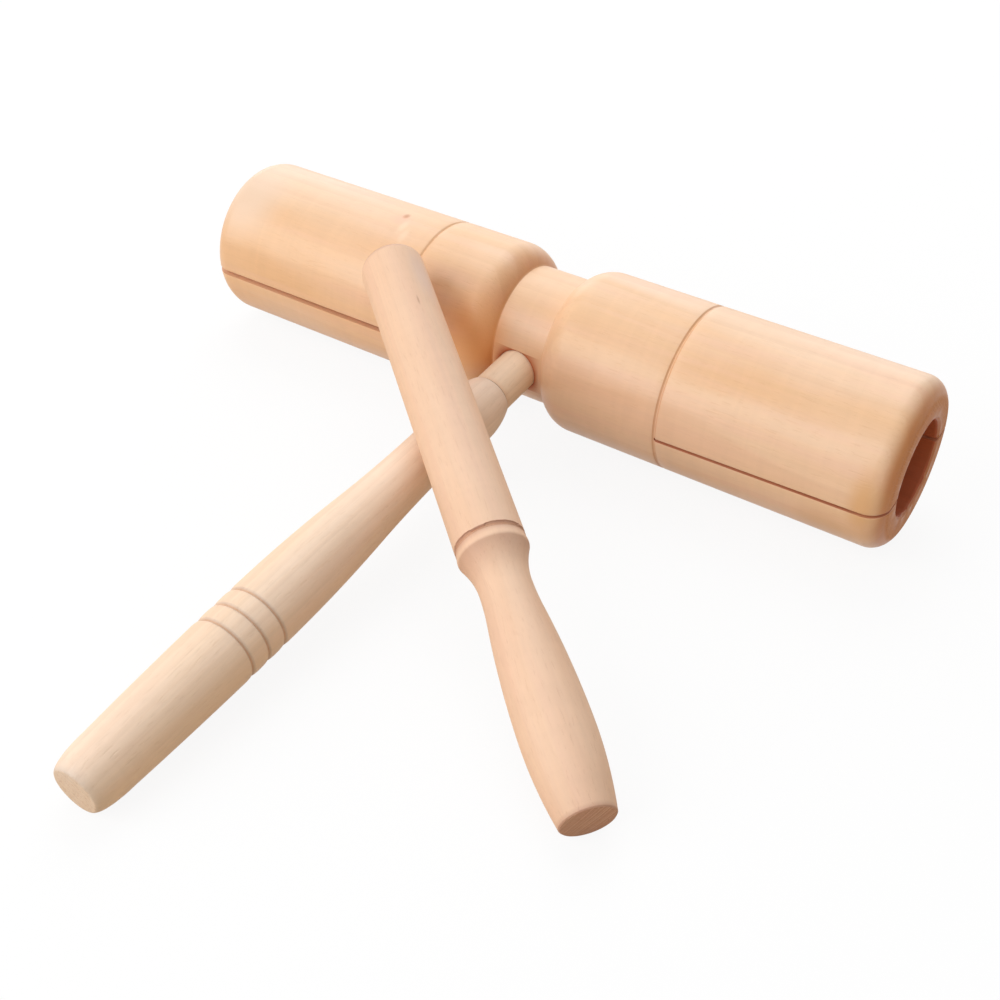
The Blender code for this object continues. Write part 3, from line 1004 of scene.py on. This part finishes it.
def turnedWood(name, look):
    material = bpy.data.materials.new(name)
    material.use_nodes = True
    tree = material.node_tree
    shader = tree.nodes["Principled BSDF"]
    place = addNode(tree, "ShaderNodeAttribute", {}, attribute_name="grainPlace").outputs["Vector"]
    end = addNode(tree, "ShaderNodeAttribute", {}, attribute_name="endGrain").outputs["Fac"]
    # How much painted shade and bare-wood tint each point takes in cuts and joints
    cut = addNode(tree, "ShaderNodeAttribute", {}, attribute_name="shadeAndBareWood").outputs["Fac"]
    grown = {"Place": place, "Pith": look["pith"], "Ring Width": look["ringWidth"]}
    grown |= {"Sway": look["sway"], "Seed": look["seed"]}
    marks = addNode(tree, "ShaderNodeGroup", grown, node_tree=effects["figure"])
    colours = {"Pale": "pale", "Warm": "warm", "Pink": "pink", "Line": "line"}
    colours |= {"End Tint": "endTint", "Bare Wood Shade Tint": "shadeAndBareWoodTint"}
    inputs = {key: paint(look[value]) for key, value in colours.items()}
    inputs |= {output.name: output for output in marks.outputs}
    inputs |= {key + " Share": value for key, value in look["shares"].items()}
    inputs |= {"End": end, "Shade And Bare Wood": cut}
    colour = addNode(tree, "ShaderNodeGroup", inputs, node_tree=effects["colour"]).outputs["Colour"]
    clearOfShadeAndBareWood = calc(tree, "SUBTRACT", 1.0, cut)
    for spot in look["spots"].values():
        where = {"Place": place, "Centre": spot["centre"], "Size": spot["size"]}
        mark = addNode(tree, "ShaderNodeGroup", where, node_tree=effects["spot"]).outputs["Mark"]
        share = calc(tree, "MULTIPLY", calc(tree, "MULTIPLY", mark, clearOfShadeAndBareWood), spot["share"])
        colour = blend(tree, share, colour, paint(spot["tint"]))
    tree.links.new(colour, shader.inputs["Base Color"])
    surface = {key: marks.outputs[key] for key in ("Streaks", "Pores", "Rings")}
    surface |= {"End": end, "Shade And Bare Wood": cut, "Smooth Wood": look["smoothWood"]}
    surface |= {"Fibre Spread": look["fibreSpread"], "Bare End": look["bareEnd"]}
    relief = addNode(tree, "ShaderNodeGroup", surface, node_tree=effects["relief"]).outputs
    tree.links.new(relief["Roughness"], shader.inputs["Roughness"])
    height = {"Height": relief["Height"], "Strength": 1.0, "Distance": look["bumpDepth"]}
    bump = addNode(tree, "ShaderNodeBump", height).outputs["Normal"]
    tree.links.new(bump, shader.inputs["Normal"])
    if "coat" in look:
        shader.inputs["Coat Weight"].default_value = look["coat"]
        shader.inputs["Coat Roughness"].default_value = look["coatRoughness"]
    return material


toneBody.data.materials.append(turnedWood("bodyWood", lacqueredWood))
dowel.data.materials.append(turnedWood("dowelWood", dowelWood))
grip.data.materials.append(turnedWood("gripWood", gripWood))
stick.data.materials.append(turnedWood("beaterWood", beaterWood))

for piece, node, bodyName, slot in (
    (toneBody, "tone_body", "block", "body_wood"),
    (dowel, "handle_dowel", "block", "dowel_wood"),
    (grip, "handle_grip", "block", "grip_wood"),
    (stick, "beater", "beater", "beater_wood"),
):
    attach(piece, bodyName)
    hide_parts(node)


# Floor and light, in metres, degrees and watts
studio = {
    "floorSize": 20.0,
    "paperRoughness": 0.9,
    "paperSeen": (0.98, 0.98, 0.98),
    "paperBounce": (0.76, 0.66, 0.50),
    "paperGlow": 0.90,
    "whiteFrom": 0.25,
    "whiteBeyond": 1.2,
    "roomLight": 0.42,
    "lampDistance": 1.2,
    "lamps": {
        "frontSoftbox": {"azimuth": 236, "height": 31, "width": 1.15, "tall": 1.0, "power": 9.5},
        "highSoftbox": {"azimuth": 120, "height": 56, "width": 1.0, "tall": 0.9, "power": 5.7},
        "backSoftbox": {"azimuth": 115, "height": 16, "width": 1.4, "tall": 0.6, "power": 3.6},
        "rightSoftbox": {"azimuth": 298, "height": 38, "width": 0.9, "tall": 0.9, "power": 0.9},
    },
}


def seenDirectly(tree):
    # 1 for rays from the camera, a gloss or glass, 0 for the light that falls on the wood
    path = tree.nodes.new("ShaderNodeLightPath").outputs
    mirrored = calc(tree, "MAXIMUM", path["Is Glossy Ray"], path["Is Transmission Ray"])
    return calc(tree, "MAXIMUM", path["Is Camera Ray"], mirrored)


def addFloor(values):
    shape = bmesh.new()
    bmesh.ops.create_grid(shape, x_segments=1, y_segments=1, size=values["floorSize"] / 2)
    mesh = bpy.data.meshes.new("studioFloor")
    shape.to_mesh(mesh)
    shape.free()
    floor = bpy.data.objects.new("studioFloor", mesh)
    bpy.context.scene.collection.objects.link(floor)
    material = bpy.data.materials.new("studioPaper")
    material.use_nodes = True
    tree = material.node_tree
    paper = tree.nodes["Principled BSDF"]
    paper.inputs["Roughness"].default_value = values["paperRoughness"]
    seen = seenDirectly(tree)
    bounce, white = paint(values["paperBounce"]), paint(values["paperSeen"])
    tree.links.new(blend(tree, seen, bounce, white), paper.inputs["Base Color"])
    # The paper keeps its shadows near the wood and goes over into the white room farther out
    position = addNode(tree, "ShaderNodeNewGeometry", {}).outputs["Position"]
    far = calcVector(tree, "LENGTH", position)["Value"]
    share = soften(tree, far, values["whiteFrom"], values["whiteBeyond"], values["paperGlow"], 1.0)
    glow = tree.nodes.new("ShaderNodeEmission")
    mix = addNode(tree, "ShaderNodeMixShader", {0: calc(tree, "MULTIPLY", seen, share)})
    tree.links.new(paper.outputs[0], mix.inputs[1])
    tree.links.new(glow.outputs[0], mix.inputs[2])
    tree.links.new(mix.outputs[0], tree.nodes["Material Output"].inputs["Surface"])
    mesh.materials.append(material)


def addSoftbox(name, lamp, distance):
    light = bpy.data.lights.new(name, "AREA")
    light.shape = "RECTANGLE"
    light.size = lamp["width"]
    light.size_y = lamp["tall"]
    light.energy = lamp["power"]
    holder = bpy.data.objects.new(name, light)
    turn, rise = radians(lamp["azimuth"]), radians(lamp["height"])
    outward = Vector((cos(turn) * cos(rise), sin(turn) * cos(rise), sin(rise)))
    holder.location = outward * distance + Vector((0, 0, blockCentre.z))
    holder.rotation_euler = (-outward).to_track_quat("-Z", "Y").to_euler()
    bpy.context.scene.collection.objects.link(holder)


def addRoom(strength):
    world = bpy.data.worlds.new("studioRoom")
    world.use_nodes = True
    tree = world.node_tree
    room = tree.nodes["Background"]
    room.inputs["Color"].default_value = (1, 1, 1, 1)
    room.inputs["Strength"].default_value = strength
    white = addNode(tree, "ShaderNodeBackground", {"Color": (1, 1, 1, 1), "Strength": 1.0})
    mix = addNode(tree, "ShaderNodeMixShader", {0: seenDirectly(tree)})
    tree.links.new(room.outputs[0], mix.inputs[1])
    tree.links.new(white.outputs[0], mix.inputs[2])
    tree.links.new(mix.outputs[0], tree.nodes["World Output"].inputs["Surface"])
    bpy.context.scene.world = world


print("lighting the table")
addFloor(studio)
for name, lamp in studio["lamps"].items():
    addSoftbox(name, lamp, studio["lampDistance"])
addRoom(studio["roomLight"])
